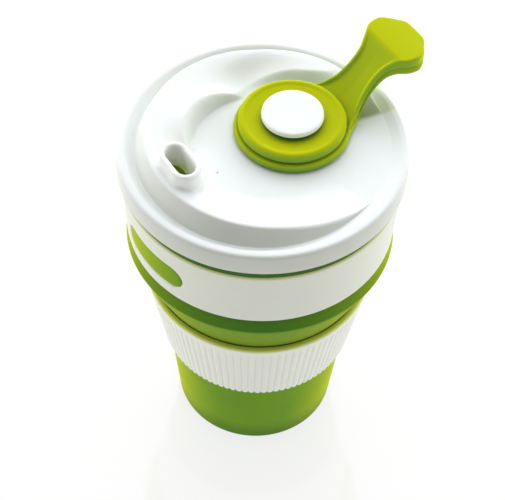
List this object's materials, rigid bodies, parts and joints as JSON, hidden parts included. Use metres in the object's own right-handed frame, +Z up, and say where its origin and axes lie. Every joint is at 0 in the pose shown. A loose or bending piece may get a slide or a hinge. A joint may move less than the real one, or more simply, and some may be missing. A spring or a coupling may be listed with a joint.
{
  "type": "collapsible travel cup",
  "caption": "Collapsible silicone travel cup with a stiff band, a ribbed grip sleeve and a lid whose sip slot is closed by a swivelling stopper.",
  "frame": {"origin": "centre of the cup's underside, on the surface it stands on", "axes": "+Z up along the cup's axis; the spout is towards -Y and the open stopper within 2 degrees of +Y"},
  "size_m": [0.094, 0.1055, 0.1516],
  "materials": {
    "lime_silicone": "satin moulded silicone",
    "white_lid": "satin moulded polypropylene",
    "white_band": "satin moulded polypropylene",
    "white_sleeve": "matte, finely ribbed"
  },
  "bodies": {
    "base": {"base_cup": "lime_silicone", "lower_fold_wall": "lime_silicone"},
    "grip": {"middle_wall": "lime_silicone", "upper_fold_wall": "lime_silicone", "grip_sleeve": "white_sleeve"},
    "collar": {"rim_wall": "lime_silicone", "upper_band": "white_band"},
    "lid": {"lid_shell": "white_lid", "pivot_button": "white_lid", "pivot_retainer": "white_lid"},
    "stopper": {"stopper_hub": "lime_silicone"},
    "strap": {"stopper_strap": "lime_silicone"}
  },
  "joints": [
    {"name": "grip_collapse", "type": "slide", "parent": "base", "child": "grip", "axis": [0, 0, 1], "range_m": [-0.036, 0], "deforming": ["lower_fold_wall"]},
    {"name": "collar_collapse", "type": "slide", "parent": "grip", "child": "collar", "axis": [0, 0, 1], "range_m": [-0.034, 0], "deforming": ["upper_fold_wall"]},
    {"name": "lid_lift", "type": "slide", "parent": "collar", "child": "lid", "axis": [0, 0, 1], "range_m": [0, 0.1]},
    {"name": "stopper_swivel", "type": "hinge", "parent": "lid", "child": "stopper", "pos_m": [0, 0.011, 0.134], "axis": [0, 0, 1], "continuous": true},
    {"name": "strap_flex", "type": "hinge", "parent": "stopper", "child": "strap", "pos_m": [-0.00051, 0.03189, 0.1334], "axis": [0.9997, 0.0244, 0], "range_deg": [-13, 20], "stiffness_Nm_per_rad": 0.03, "springref_deg": 0.8}
  ]
}
